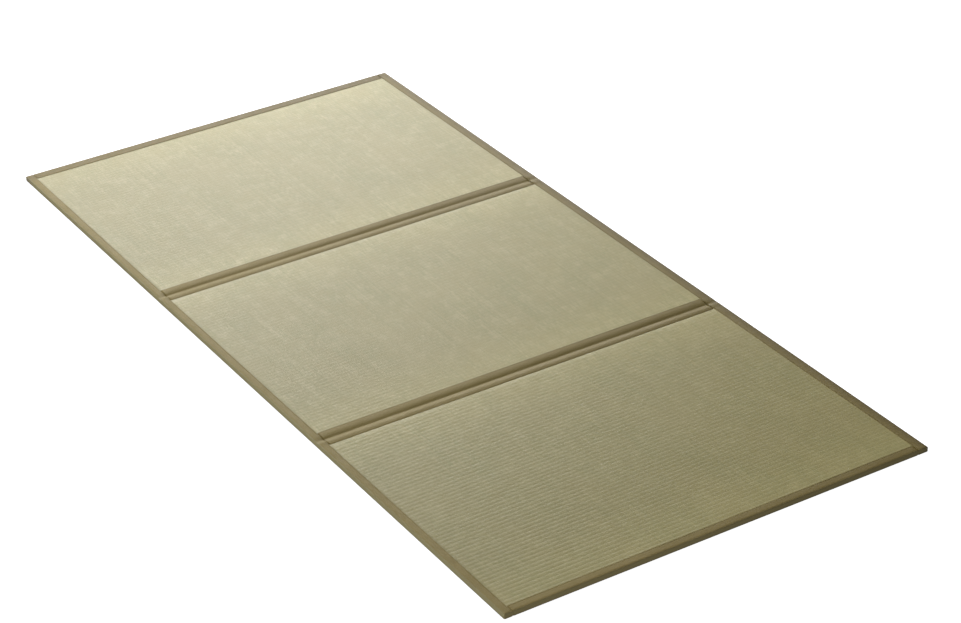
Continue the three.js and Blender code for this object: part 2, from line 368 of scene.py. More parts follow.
def woven_rush_material(colours):
    """Rush strands that run along the mat and dip at each rib."""
    material, graph = new_material("woven_rush")
    weave = graph.node("ShaderNodeAttribute", {"attribute_name": "weave"}, {}).outputs["Vector"]
    across, rib, panel = graph.parts(weave)
    place = graph.object_place()

    rib_share = graph.math("FRACT", rib)
    arch = graph.math("SINE", rib_share * math.pi)
    odd = graph.math("MODULO", graph.math("FLOOR", rib), 2.0)
    wander = (graph.noise(place, 45.0) - 0.5) * 1.1
    strand = across + odd * 0.5 + wander
    strand_share = graph.math("FRACT", strand)
    strand_round = 1.0 - (strand_share * 2.0 - 1.0) ** 2.0

    strand_index = graph.math("FLOOR", strand)
    tone = graph.random(graph.join(strand_index, odd, panel))
    piece_tone = graph.random(graph.join(strand_index, graph.math("FLOOR", rib), panel + 5.0))
    streak = graph.noise(graph.scaled(place, (260.0, 4.0, 1.0)), 1.0, 3.0)
    patch = graph.noise(graph.scaled(place, (1.0, 0.6, 1.0)), 9.0, 3.0)
    mottle = graph.noise(place, 36.0, 2.0)

    greenness = graph.smooth(tone * 0.22 + patch * 0.64 + mottle * 0.5, 0.48, 0.95)
    colour = graph.blend(greenness, rgba(colours.rush), rgba(colours.rush_green))
    paleness = graph.smooth(piece_tone * 0.18 + streak * 0.42 + mottle * 0.65, 0.48, 0.95)
    colour = graph.blend(paleness, colour, rgba(colours.rush_pale))
    ripeness = graph.smooth(tone, 0.86, 0.98) * 0.4
    colour = graph.blend(ripeness, colour, rgba(colours.rush_tan))

    _, along, _ = graph.parts(place)
    from_middle = graph.math("ABSOLUTE", along - (panel - 1.0) * PANEL_LENGTH)
    half = PANEL_LENGTH / 2
    # Painted highlight: each panel is painted up to 14% lighter towards both its ends, where light
    # catches the ends of the panel.
    painted_end_highlight = 1.0 + 0.14 * graph.smooth(from_middle, half - END_HIGHLIGHT_START, half - END_HIGHLIGHT_FULL)

    # Painted shade: the rush is coloured less bright in the valleys between its ribs and between its
    # strands, where shade falls.
    valley = graph.smooth(arch, 0.0, 0.45)
    gap = graph.smooth(strand_round, 0.0, 0.5)
    shade = (0.95 + 0.05 * valley) * (0.96 + 0.04 * gap) * painted_end_highlight
    colour = graph.shaded(colour, shade, shade, shade * 0.98)

    roughness = 0.35 + 0.04 * tone + 0.1 * (1.0 - valley)
    height = strand_round * (0.25 + 0.75 * graph.math("SQRT", arch)) + 0.15 * tone
    constants = {"Specular IOR Level": 0.12}
    finish_material(graph, colour, roughness, height, RUSH_GRAIN, constants)
    return material


def cloth_wear_and_painted_light(graph, place, colour, main):
    """Cloth rubbed on its crowns, greyer at its rim, darker and greyer at the right and back, with a
    painted shadow at its foot and painted light from the left.
    """
    across, along, level = graph.parts(place)
    crown = graph.smooth(level, CROWN_HEIGHT - RUBBED_BELOW, CROWN_HEIGHT + RUBBED_ABOVE)
    rubbed = crown * graph.smooth(graph.noise(place, 55.0, 3.0), 0.35, 0.8) * 0.25
    colour = graph.blend(rubbed, colour, rgba([1.22 * channel for channel in main]))

    # The cloth turns greyer towards its outer rim, and darker and greyer near its right and back edges.
    from_side = HALF_WIDTH - graph.math("ABSOLUTE", across)
    from_end = HALF_LENGTH - graph.math("ABSOLUTE", along)
    greyer_rim = 0.9 - 0.9 * graph.smooth(graph.math("MINIMUM", from_side, from_end), 0.0, GREY_RIM_WIDTH)
    rim_grey = [share * channel for share, channel in zip((1.02, 1.15, 2.1), main)]
    colour = graph.blend(greyer_rim, colour, rgba(rim_grey))

    from_far_edges = graph.math("MINIMUM", HALF_WIDTH - across, (HALF_LENGTH - along) * 0.45)
    clear_of_dark_rim = graph.smooth(from_far_edges, DARK_RIM_START, DARK_RIM_WIDTH)
    # Painted shadow: the cloth is painted down to 62% as bright over its lowest 5 mm, where the mat
    # meets the floor.
    clear_of_foot_shade = graph.smooth(level, 0.0, FOOT_SHADE_HEIGHT)
    # Painted light: the cloth is painted lighter on the left and less bright on the right, as though
    # lit from the left.
    painted_left_light = 1.12 - 0.27 * graph.smooth(across, -HALF_WIDTH, HALF_WIDTH)
    shade = (0.8 + 0.2 * clear_of_dark_rim) * (0.62 + 0.38 * clear_of_foot_shade) * painted_left_light
    return graph.shaded(colour, shade, shade, shade * (1.12 - 0.12 * clear_of_dark_rim))


def woven_cloth_material(name, main, dark, thread_pitch):
    """Plain woven cotton, read on the cloth's own map in metres."""
    material, graph = new_material(name)
    cloth_map = graph.node("ShaderNodeUVMap", {"uv_map": "cloth"}, {}).outputs[0]
    place = graph.object_place()
    threads = graph.scaled(cloth_map, (1 / thread_pitch, 1 / thread_pitch, 0.0))
    warp, weft, _ = graph.parts(threads)
    warp_round = graph.math("ABSOLUTE", graph.math("SINE", warp * math.pi))
    weft_round = graph.math("ABSOLUTE", graph.math("SINE", weft * math.pi))
    over = graph.math("MODULO", graph.math("FLOOR", warp) + graph.math("FLOOR", weft), 2.0)
    over = graph.math("ABSOLUTE", over)
    height = over * warp_round + (1.0 - over) * weft_round
    thread_tone = graph.random(graph.join(graph.math("FLOOR", warp), over, 0.0))

    mottle = graph.noise(place, 30.0, 4.0)
    slub = graph.noise(graph.scaled(cloth_map, (900.0, 60.0, 0.0)), 1.0, 2.0)
    clouds = 0.25 * (mottle - 0.5) + 0.2 * (slub - 0.5)
    # Painted shade: the cloth is coloured less bright where its threads dip, under its own mottling and
    # random tone for each thread.
    tone = graph.clamp(0.25 + 0.45 * height + clouds + 0.12 * thread_tone)
    colour = cloth_wear_and_painted_light(graph, place, graph.blend(tone, rgba(dark), rgba(main)), main)
    roughness = 0.56 - 0.1 * mottle
    constants = {"Specular IOR Level": 0.1}
    finish_material(graph, colour, roughness, height + 0.5 * slub, CLOTH_GRAIN, constants)
    return material


def floor_material(colour):
    """Plain pale studio floor that stays bright right up to the mat."""
    material, graph = new_material("studio_floor")
    place = graph.object_place()
    cloudy = graph.noise(place, 1.5, 2.0)
    mixed = graph.blend(cloudy, rgba(colour), rgba([0.98 * channel for channel in colour]))
    inputs = {
        "Base Color": mixed, "Roughness": 0.9,
        "Emission Color": rgba(WHITE), "Emission Strength": FLOOR_GLOW,
    }
    shader = graph.node("ShaderNodeBsdfPrincipled", {}, inputs)
    graph.node("ShaderNodeOutputMaterial", {}, {"Surface": shader.outputs[0]})
    return material


# Lines of the cloth and the rush in section


def ellipse_height(share):
    """Height of a quarter ellipse, as a share, where share is 0 at its crown and 1 at its foot."""
    return math.sqrt(max(0.0, 1.0 - share * share))


def height_on(line, place):
    """Height at a place on a line of (place, height) points, bent smoothly at each point."""
    if not line[0][0] <= place <= line[-1][0]:
        return line[0][1] if place < line[0][0] else line[-1][1]
    k = max(i for i in range(len(line) - 1) if line[i][0] <= place)

    def bend(i):
        low, high = max(0, i - 1), min(len(line) - 1, i + 1)
        return (line[high][1] - line[low][1]) / (line[high][0] - line[low][0])

    (start, low), (end, high) = line[k], line[k + 1]
    span = end - start
    t = (place - start) / span
    rising = t * t * (3 - 2 * t)
    leaving = t * (1 - t) ** 2 * bend(k) * span
    arriving = t * t * (t - 1) * bend(k + 1) * span
    return low + (high - low) * rising + leaving + arriving


def stitch_groove(from_seam):
    """Depth to which the stitches pull the cloth."""
    return STITCH_GROOVE * math.exp(-((from_seam - STITCH_INSET) / GROOVE_WIDTH) ** 2)


def edge_height(u, width):
    """Top of a binding at a distance u from its outer edge."""
    if u < CROWN_INSET:
        return SIDE_TOP + (CROWN_HEIGHT - SIDE_TOP) * ellipse_height(1 - u / CROWN_INSET)
    share = min(1.0, (u - CROWN_INSET) / (width - CROWN_INSET))
    return CROWN_HEIGHT - SEAM_DROP * share * share - stitch_groove(width - u)


def fold_height(v):
    """Top of a fold band at a distance v behind its fold line."""
    groove = stitch_groove(v + FOLD_FRONT_REACH) + stitch_groove(FOLD_BACK_REACH - v)
    return height_on(FOLD_TOP, v / MILLIMETRE) * MILLIMETRE - groove


def fold_relief(y, share):
    """Rise of a side binding over the folds, where share is 0 at its outer edge and 1 at its seam."""
    rise = sum(height_on(FOLD_RELIEF, (y - fold) / MILLIMETRE) for fold in FOLD_LINES.values())
    return rise * MILLIMETRE * (EDGE_RELIEF + (1 - EDGE_RELIEF) * max(0.0, share))


def seam_steps(width):
    """Places on a binding between its seam and its crown, closer together at the stitches."""
    near = [width - step * MILLIMETRE for step in SEAM_STEPS]
    return near + [near[-1] + (CROWN_INSET - near[-1]) * share for share in (1 / 3, 2 / 3)]


def rounded_steps(count):
    """Shares from a crown to its foot, closer together at the foot."""
    return [math.sin(math.pi / 2 * i / count) for i in range(count + 1)]


def under_turn():
    """Round turn from the side of a binding to its underside, as (how far in, how high)."""
    angles = [math.pi / 2 * i / UNDER_STEPS for i in range(UNDER_STEPS + 1)]
    return [(UNDER_RADIUS * (1 - math.cos(a)), UNDER_RADIUS * (1 - math.sin(a))) for a in angles]


def wavy(x, y, scale, salt):
    """Smooth noise from -1 to 1, the same at each run."""
    return noise.noise(Vector((x * scale, y * scale, salt)))


def edge_section(width):
    """Outer face of an end binding as (u, z), from its seam over, round and under to its end."""
    over = seam_steps(width) + [CROWN_INSET * (1 - share) for share in rounded_steps(CROWN_STEPS)]
    under = [(width * share, 0.0) for share in (0.4, 0.7, 1.0)]
    return [(u, edge_height(u, width)) for u in over] + under_turn() + under


def fold_section():
    """Outer face of a fold band as (v, z), from its back seam over the cleft to its front seam."""
    from_seam = (*SEAM_STEPS, 6, 9)
    behind = (13, 11, 9, 7.5, 6, 4.8, 3.6, 2.6, 1.7, 0.9, 0.2)
    ahead = (-0.5, -1.2, -2, -3, -4, -5, -6.2, -7.6, -9, -11, -13.5, -16)
    places = [FOLD_BACK_REACH - step * MILLIMETRE for step in from_seam]
    places += [v * MILLIMETRE for v in behind + ahead]
    places += [step * MILLIMETRE - FOLD_FRONT_REACH for step in reversed(from_seam)]
    return [(v, fold_height(v)) for v in places]


# Meshes


def new_object(name, mesh, material):
    made = bpy.data.objects.new(name, mesh)
    bpy.context.scene.collection.objects.link(made)
    mesh.materials.append(material)
    for polygon in mesh.polygons:
        polygon.use_smooth = True
    return made


def cloth_length(section):
    """Length of the cloth along its section."""
    points = [Vector(point) for point in section]
    return sum((b - a).length for a, b in zip(points, points[1:]))


def running_lengths(points):
    """Length along a line of points, from its start to each point."""
    lengths = [0.0]
    for a, b in zip(points, points[1:]):
        lengths.append(lengths[-1] + (b - a).length)
    return lengths


def cloth_mesh(name, rows, flip):
    """Sheet through rows of points, each as long as the next, with a map of its own in metres."""
    mesh = bpy.data.meshes.new(name)
    width = len(rows[0])
    vertices = [point for row in rows for point in row]
    faces = []
    for j in range(len(rows) - 1):
        for i in range(width - 1):
            corner = j * width + i
            face = (corner, corner + 1, corner + width + 1, corner + width)
            faces.append(face[::-1] if flip else face)
    mesh.from_pydata(vertices, [], faces)
    across = running_lengths(rows[len(rows) // 2])
    along = running_lengths([row[0] for row in rows])
    layer = mesh.uv_layers.new(name="cloth")
    for loop in mesh.loops:
        j, i = divmod(loop.vertex_index, width)
        layer.data[loop.index].uv = (across[i], along[j])
    return mesh


def finished_mesh(name, build):
    """Turns a bmesh into a mesh."""
    mesh = bpy.data.meshes.new(name)
    build.to_mesh(mesh)
    build.free()
    return mesh


def thicken(piece):
    """Gives a sheet the thickness of its cloth, inwards, and rounds its cut edges."""
    solid = piece.modifiers.new("thickness", "SOLIDIFY")
    solid.thickness = CLOTH
    solid.offset = -1.0
    soft = piece.modifiers.new("soft_edges", "SUBSURF")
    soft.levels = 1
    soft.render_levels = 1


def stations(low, high, step):
    """Even places from low to high, about a step apart."""
    count = max(2, round((high - low) / step))
    return [low + (high - low) * i / count for i in range(count + 1)]


def wander_section(points, along, outward, uneven, salt):
    """Moves the points of one section a little, most at its crown and not at all low down."""
    moved = []
    for k, point in enumerate(points):
        freedom = max(0.0, min(1.0, (point.z - CLEFT_FLOOR) / (CROWN_HEIGHT - CLEFT_FLOOR)))
        lift = wavy(along, k * LIFT_POINT_STEP, LIFT_WAVES, salt)
        sway = wavy(along, k * SWAY_POINT_STEP, BAND_SWAY_WAVES, salt + BAND_SWAY_SALT)
        moved.append(point + (Vector((0, 0, lift)) + outward * sway) * uneven * freedom)
    return moved


def outward_normals(section):
    """Direction out of the cloth at each point of a section."""
    normals = []
    for i in range(len(section)):
        before = section[max(0, i - 1)]
        after = section[min(len(section) - 1, i + 1)]
        normals.append(Vector((after[1] - before[1], before[0] - after[0])).normalized())
    return normals


def tuck_at(x):
    """How far a band across the mat sinks at x, so that it passes under the side bindings."""
    past_seam = max(LEFT_SEAM - x, x - RIGHT_SEAM)
    share = max(0.0, min(1.0, past_seam / TUCK_LENGTH + 0.8))
    return TUCK * share * share * (3 - 2 * share)


def band_stations():
    """Places across the mat, closer together where a band goes under the side bindings."""
    ends = [step * MILLIMETRE for step in (-4, -2, -0.6, 0.5, 1.5, 2.5, 3.5, 5)]
    left = [LEFT_SEAM + end for end in ends]
    right = [RIGHT_SEAM - end for end in reversed(ends)]
    return left + stations(LEFT_SEAM + ACROSS_STEP, RIGHT_SEAM - ACROSS_STEP, ACROSS_STEP) + right


def band_across(name, section, place, uneven, salt, flip):
    """Cloth band that runs across the mat and under both side bindings."""
    normals = outward_normals(section)
    rows = []
    for x in band_stations():
        sunk = [Vector(point) - normal * tuck_at(x) for point, normal in zip(section, normals)]
        points = [Vector((x, *place(*point))) for point in sunk]
        rows.append(wander_section(points, x, Vector((0, 1, 0)), uneven, salt))
    return cloth_mesh(name, rows, flip)


# Side bindings


def squircle(a, b):
    """Maps a square onto a square with round corners, both from 0 to 1."""
    norm = (a ** CORNER_POWER + b ** CORNER_POWER) ** (1 / CORNER_POWER)
    if norm == 0:
        return 0.0, 0.0
    scale = max(a, b) / norm
    return a * scale, b * scale


def side_rows():
    """Rows of a side binding as (share of the rounded end, y of the row where the end is done)."""
    rounded = rounded_steps(CORNER_STEPS)[::-1]
    start = -HALF_LENGTH + CROWN_INSET
    middle = stations(start, -start, SIDE_STEP)
    for fold in FOLD_LINES.values():
        middle = [y for y in middle if abs(y - fold) > (FOLD_ROWS + 1) * FOLD_STEP]
        middle += [fold + i * FOLD_STEP for i in range(-FOLD_ROWS, FOLD_ROWS + 1)]
    middle.sort()
    rows = [(share, start) for share in rounded]
    rows += [(0.0, y) for y in middle[1:-1]]
    rows += [(share, -start) for share in reversed(rounded)]
    return rows


class Sleeve:
    """Grid of one side binding: columns from its seam to its edge, and rows from front to back."""

    def __init__(self, side, width, uneven):
        self.side = side
        self.width = width
        self.uneven = uneven
        self.columns = [(0.0, u) for u in seam_steps(width)]
        self.columns += [(share, CROWN_INSET) for share in rounded_steps(CROWN_STEPS)]
        self.rows = side_rows()
        self.build = bmesh.new()
        self.layer = self.build.loops.layers.uv.new("cloth")
        self.maps = {}

    def vertex(self, u, y, z, cloth_at):
        made = self.build.verts.new((self.side * (HALF_WIDTH - u), y, z))
        self.maps[made] = cloth_at
        return made

    def spot(self, i, j):
        """Plan place of a grid point and its two shares of the rounded edge."""
        column, u = self.columns[i]
        row, y = self.rows[j]
        a, b = squircle(column, row)
        end = math.copysign(1.0, y)
        return u - CROWN_INSET * a, y + end * CROWN_INSET * b, a, b * end

    def top(self, i, j):
        """Point of the cloth over the mat."""
        u, y, _, _ = self.spot(i, j)
        share = max(0.0, u / self.width)
        edge = max(self.columns[i][0], self.rows[j][0])
        lift = self.uneven * wavy(0.3 * self.side + u, y, LIFT_WAVES, SIDE_LIFT_SALT) * (1 - edge)
        sway = 0.9 * self.uneven * wavy(y, self.side, SIDE_SWAY_WAVES, SIDE_SWAY_SALT) * share
        crown = edge_height(self.columns[i][1], self.width) + lift
        z = SIDE_TOP + (crown - SIDE_TOP) * ellipse_height(edge) + fold_relief(y, share)
        return self.vertex(u + sway, y, z, (u, y))

    def under(self, i, j):
        """Point of the cloth that is turned under the mat."""
        u, y, a, b = self.spot(i, j)
        u += UNDER_RADIUS * a
        y -= UNDER_RADIUS * b
        return self.vertex(u, y, 0.0, (UNDERSIDE_MAP - u, y))

    def turn(self, i, j, inward, z):
        """Point of the round turn between the side and the underside."""
        u, y, a, b = self.spot(i, j)
        return self.vertex(u + inward * a, y - inward * b, z, (z - 2 * SIDE_TOP, y + u))


def side_binding_mesh(name, side, width, uneven):
    """Sleeve of cloth over, round and under one long side, closed at its ends."""
    sleeve = Sleeve(side, width, uneven)
    last_i = len(sleeve.columns) - 1
    last_j = len(sleeve.rows) - 1
    spots = [(i, j) for j in range(last_j + 1) for i in range(last_i + 1)]
    tops = {spot: sleeve.top(*spot) for spot in spots}
    unders = {spot: sleeve.under(*spot) for spot in spots}
    ring = [(i, 0) for i in range(last_i)]
    ring += [(last_i, j) for j in range(last_j)]
    ring += [(i, last_j) for i in range(last_i, -1, -1)]
    levels = [[tops[spot] for spot in ring]]
    for inward, z in under_turn()[:-1]:
        levels.append([sleeve.turn(*spot, inward, z) for spot in ring])
    levels.append([unders[spot] for spot in ring])

    faces = sleeve.build.faces
    for j in range(last_j):
        for i in range(last_i):
            faces.new((tops[i, j], tops[i + 1, j], tops[i + 1, j + 1], tops[i, j + 1]))
            faces.new((unders[i, j], unders[i, j + 1], unders[i + 1, j + 1], unders[i + 1, j]))
    for upper, lower in zip(levels, levels[1:]):
        for k in range(len(ring) - 1):
            faces.new((upper[k], lower[k], lower[k + 1], upper[k + 1]))
    for face in faces:
        for loop in face.loops:
            loop[sleeve.layer].uv = sleeve.maps[loop.vert]
    if side < 0:
        bmesh.ops.reverse_faces(sleeve.build, faces=faces[:])
    return finished_mesh(name, sleeve.build)


# Rush panels


class Rim:
    """Side of a panel that lies under cloth, with the cloth's width and its height across it."""

    def __init__(self, width, cloth_height):
        self.width = width
        self.cloth_height = cloth_height

    def places(self):
        shares = (0, 0.04, 0.1, 0.18, 0.3, 0.45, 0.65, 0.85)
        return [PANEL_START + (self.width - PANEL_START) * share for share in shares]

    def height(self, distance):
        return self.cloth_height(distance) - RIM_INSET


def edge_rim(word):
    width = BINDING_WIDTHS[word]
    return Rim(width, lambda distance: edge_height(distance, width))


def panel_ends(index):
    """Front and back of a panel: where it ends, and the rim that it has there."""
    front = -HALF_LENGTH + index * PANEL_LENGTH
    front_rim = edge_rim("front")
    back_rim = edge_rim("back")
    if index > 0:
        front_rim = Rim(FOLD_BACK_REACH, fold_height)
    if index < len(PANEL_NAMES) - 1:
        back_rim = Rim(FOLD_FRONT_REACH, lambda distance: fold_height(-distance))
    return front, front + PANEL_LENGTH, front_rim, back_rim


def rib_rows(front_seam, back_seam, pitch):
    """Rows of the weave, closer together in the valleys between ribs."""
    count = round((back_seam - front_seam) / pitch)
    pitch = (back_seam - front_seam) / count
    shares = (0.0, 0.16, 0.32, 0.43, 0.5, 0.57, 0.68, 0.84)
    rows = [front_seam + (i + share) * pitch for i in range(count) for share in shares]
    return rows + [back_seam], pitch


def panel_columns(left_rim, right_rim):
    """Places of a panel's columns, closer together under the side bindings and beside their seams."""
    rise = [step * MILLIMETRE for step in (0, 0.7, 1.5, 3, 6)]
    left = [-HALF_WIDTH + u for u in left_rim.places()] + [LEFT_SEAM + step for step in rise]
    right = [HALF_WIDTH - u for u in right_rim.places()] + [RIGHT_SEAM - step for step in rise]
    return left + stations(left[-1], right[-1], ACROSS_STEP)[1:-1] + right[::-1]


def under_insets(index, front_rim, back_rim):
    """How far in a panel's underside starts on its left, right, front and back, clear of the flaps."""
    flaps = [BINDING_WIDTHS["left"], BINDING_WIDTHS["right"], front_rim.width, back_rim.width]
    insets = [width + FLAP_CLEARANCE for width in flaps]
    if index > 0:
        insets[2] = PANEL_START
    if index < len(PANEL_NAMES) - 1:
        insets[3] = PANEL_START
    return insets


def panel_blank(name, index, sizes):
    """Flat panel before weaving, shaped under the cloth and level inside its seams."""
    front, back, front_rim, back_rim = panel_ends(index)
    left_rim, right_rim = edge_rim("left"), edge_rim("right")
    front_seam = front + front_rim.width
    back_seam = back - back_rim.width
    rush_rows, pitch = rib_rows(front_seam, back_seam, sizes.rib_pitch)
    ys = [front + v for v in front_rim.places()] + rush_rows
    ys += [back - v for v in reversed(back_rim.places())]
    xs = panel_columns(left_rim, right_rim)

    def blank_height(x, y):
        heights = [RUSH_SEAM]
        if x < LEFT_SEAM:
            heights.append(left_rim.height(x + HALF_WIDTH))
        if x > RIGHT_SEAM:
            heights.append(right_rim.height(HALF_WIDTH - x))
        if y < front_seam:
            heights.append(front_rim.height(y - front))
        if y > back_seam:
            heights.append(back_rim.height(back - y))
        return min(heights)

    build = bmesh.new()
    grid = [[build.verts.new((x, y, blank_height(x, y))) for x in xs] for y in ys]
    for lower, upper in zip(grid, grid[1:]):
        for i in range(len(xs) - 1):
            build.faces.new((lower[i], lower[i + 1], upper[i + 1], upper[i]))

    ring = grid[0][:-1] + [row[-1] for row in grid[:-1]]
    ring += list(reversed(grid[-1][1:])) + [row[0] for row in reversed(grid[1:])]
    flap_room = CLOTH + FLAP_CLEARANCE
    narrow = [PANEL_START] * 4
    wide = under_insets(index, front_rim, back_rim)
    for insets, z in ((narrow, 2 * UNDER_RADIUS), (narrow, flap_room), (wide, flap_room), (wide, 0.0)):
        lower_ring = []
        for v in ring:
            x = max(-HALF_WIDTH + insets[0], min(HALF_WIDTH - insets[1], v.co.x))
            y = max(front + insets[2], min(back - insets[3], v.co.y))
            lower_ring.append(build.verts.new((x, y, z)))
        for k, upper_vertex in enumerate(ring):
            following = (k + 1) % len(ring)
            build.faces.new((upper_vertex, lower_ring[k], lower_ring[following], ring[following]))
        ring = lower_ring
    bmesh.ops.remove_doubles(build, verts=build.verts[:], dist=WELD)
    bmesh.ops.dissolve_degenerate(build, edges=build.edges[:], dist=WELD)
    open_edges = [edge for edge in build.edges if edge.is_boundary]
    bmesh.ops.holes_fill(build, edges=open_edges, sides=0)
    bmesh.ops.recalc_face_normals(build, faces=build.faces[:])
    return finished_mesh(name, build), front_seam, back_seam, pitch


# Trees of Geometry Nodes


def new_tree(name, sizes):
    """Starts a tree on a geometry, with its named sizes and a material as inputs."""
    tree = bpy.data.node_groups.new(name, "GeometryNodeTree")
    kinds = {"Geometry": "NodeSocketGeometry"}
    kinds.update({size: "NodeSocketFloat" for size in sizes})
    kinds["Material"] = "NodeSocketMaterial"
    for title, kind in kinds.items():
        tree.interface.new_socket(title, in_out="INPUT", socket_type=kind)
    tree.interface.new_socket("Geometry", in_out="OUTPUT", socket_type="NodeSocketGeometry")
    graph = Graph(tree)
    inputs = tree.nodes.new("NodeGroupInput").outputs
    return graph, inputs, {size: Wire(graph, inputs[size]) for size in sizes}


def finish_tree(graph, geometry, material):
    """Ends a tree with real geometry in its material."""
    real = graph.node("GeometryNodeRealizeInstances", {}, {"Geometry": geometry})
    dressed = {"Geometry": real.outputs[0], "Material": material}
    finished = graph.node("GeometryNodeSetMaterial", {}, dressed)
    graph.node("NodeGroupOutput", {}, {0: finished.outputs[0]})
    return graph.tree


def weaving_tree():
    """Raises the ribs of woven rush on a level panel and notes where each point lies in the weave."""
    graph, inputs, value = new_tree("weave_rush", (
        "Rib pitch", "Rib depth", "Rib fade", "Strand width", "Edge rise", "Back rise", "Back dip",
        "Rush height", "Seam height", "Left seam", "Right seam", "Front seam", "Back seam",
        "Unevenness", "Seed", "Panel",
    ))
    place = graph.node("GeometryNodeInputPosition", {}, {}).outputs[0]
    x, y, z = graph.parts(place)
    from_side = graph.math("MINIMUM", x - value["Left seam"], value["Right seam"] - x)
    from_back = value["Back seam"] - y
    from_end = graph.math("MINIMUM", y - value["Front seam"], from_back)

    def rise(distance, width):
        return 1.0 - (1.0 - graph.clamp(distance / width)) ** 2.0

    full = rise(graph.math("MINIMUM", from_side, from_back), value["Edge rise"])
    dip = value["Back dip"] * (1.0 - rise(from_back, value["Back rise"]))
    rib = (y - value["Front seam"]) / value["Rib pitch"] + 0.5
    arch = graph.math("ABSOLUTE", graph.math("SINE", rib * math.pi)) ** 0.6
    salted = graph.join(x, y, value["Seed"] + value["Panel"])
    broad = graph.noise(salted, BROAD_WAVES) - 0.5
    own_place = graph.join(x * RIB_WAVES, graph.math("FLOOR", rib) * 3.7, value["Seed"])
    along_rib = graph.noise(own_place, 1.0)
    pressed = value["Rib fade"] * graph.smooth(x, value["Left seam"], value["Right seam"])
    depth = value["Rib depth"] * (0.75 + 0.5 * along_rib) * (1.0 - pressed)
    level = value["Seam height"] + (value["Rush height"] - value["Seam height"]) * full - dip
    swell = value["Unevenness"] * 2.0 * broad * rise(from_end, SWELL_EDGE)
    height = level - depth * (1.0 - arch) + swell

    inside = graph.math("GREATER_THAN", graph.math("MINIMUM", from_side, from_end), -SEAM_TOLERANCE)
    upper = graph.math("GREATER_THAN", z, value["Seam height"] * 0.8)
    woven = graph.node("GeometryNodeSetPosition", {}, {
        "Geometry": inputs["Geometry"], "Selection": (inside * upper).socket,
        "Position": graph.join(x, y, height),
    })
    settings = {"data_type": "FLOAT_VECTOR", "domain": "POINT"}
    noted = graph.node("GeometryNodeStoreNamedAttribute", settings, {
        "Geometry": woven.outputs[0], "Name": "weave",
        "Value": graph.join(x / value["Strand width"], rib, value["Panel"]),
    })
    return finish_tree(graph, noted.outputs[0], inputs["Material"])


def stitching_tree():
    """Lays a short round stitch on each step of a seam line."""
    graph, inputs, value = new_tree("sew_seam", ("Stitch pitch", "Stitch length", "Thread", "Seed"))
    spaced = graph.node("GeometryNodeCurveToPoints", {"mode": "LENGTH"}, {
        "Curve": inputs["Geometry"], "Length": inputs["Stitch pitch"],
    })
    stitch = graph.node("GeometryNodeMeshUVSphere", {}, {"Segments": 6, "Rings": 4, "Radius": 0.5})
    index = graph.wire(graph.node("GeometryNodeInputIndex", {}, {}))
    pulled = graph.random(graph.join(index, value["Seed"], 0.0)) * 0.16 + 0.92
    size = graph.join(value["Stitch length"] * pulled, value["Thread"], value["Thread"])
    tangent = {"Vector": spaced.outputs["Tangent"]}
    along = graph.node("FunctionNodeAlignRotationToVector", {"axis": "X"}, tangent)
    placed = graph.node("GeometryNodeInstanceOnPoints", {}, {
        "Points": spaced.outputs["Points"], "Instance": stitch.outputs["Mesh"],
        "Rotation": along.outputs[0], "Scale": size,
    })
    return finish_tree(graph, placed.outputs[0], inputs["Material"])


def grown(name, source, tree, settings, material):
    """Runs a tree on an object, and returns its result as a plain mesh object of its own."""
    modifier = source.modifiers.new("grow", "NODES")
    modifier.node_group = tree
    for item in tree.interface.items_tree:
        if item.in_out == "INPUT" and item.name in settings:
            modifier[item.identifier] = settings[item.name]
    bpy.context.view_layer.update()
    evaluated = source.evaluated_get(bpy.context.evaluated_depsgraph_get())
    mesh = bpy.data.meshes.new_from_object(evaluated)
    source.modifiers.clear()
    bpy.data.objects.remove(source)
    if not mesh.polygons:
        raise RuntimeError(f"{name} came out empty")
    mesh.name = name
    mesh.materials.clear()
    return new_object(name, mesh, material)


def place_piece(piece, node=None):
    """Makes a finished piece ride with the mat and stand for its solid."""
    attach(piece, BODY)
    if node:
        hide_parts(node)


# Operators, one for each group of like pieces


def shared_material(name):
    """A material that the first operator made."""
    material = bpy.data.materials.get(name)
    if material is None:
        raise RuntimeError(f"make the finishes before {name} is used")
    return material


class TATAMI_OT_finishes(bpy.types.Operator):
    """Make the rush, cloth and thread finishes"""

    bl_idname = "tatami.finishes"
    bl_label = "Finishes"

    def execute(self, context):
        colours = context.scene.tatami_colours
        woven_rush_material(colours)
        woven_cloth_material("olive_cloth", colours.cloth, colours.cloth_thread_shade, CLOTH_THREAD)
        # Painted shade: the thread's darker colour is laid where its fibres dip.
        darker = [0.6 * channel for channel in colours.thread]
        woven_cloth_material("sewing_thread", colours.thread, darker, SEWING_FIBRE)
        return {"FINISHED"}


class TATAMI_OT_rush_panels(bpy.types.Operator):
    """Weave the three rush panels"""

    bl_idname = "tatami.rush_panels"
    bl_label = "Rush panels"

    def execute(self, context):
        sizes = context.scene.tatami_sizes
        tree = weaving_tree()
        material = shared_material("woven_rush")
        for index, side in enumerate(PANEL_NAMES):
            name = f"woven_panel_{side}"
            node = f"rush_panel_{side}"
            mesh, front_seam, back_seam, pitch = panel_blank(f"{name}_blank", index, sizes)
            blank = new_object(f"{name}_blank", mesh, material)
            dip_share = LAST_DIP_SHARE if side == "back" else 1.0
            piece = grown(name, blank, tree, {
                "Rib pitch": pitch, "Rib depth": sizes.rib_depth, "Rib fade": sizes.rib_fade,
                "Strand width": sizes.strand, "Edge rise": sizes.edge_rise,
                "Back rise": sizes.back_rise, "Back dip": sizes.back_dip * dip_share,
                "Rush height": RUSH_HEIGHT, "Seam height": RUSH_SEAM, "Left seam": LEFT_SEAM,
                "Right seam": RIGHT_SEAM, "Front seam": front_seam, "Back seam": back_seam,
                "Unevenness": sizes.uneven, "Seed": float(sizes.seed), "Panel": float(index),
                "Material": material,
            }, material)
            place_piece(piece, node)
        return {"FINISHED"}


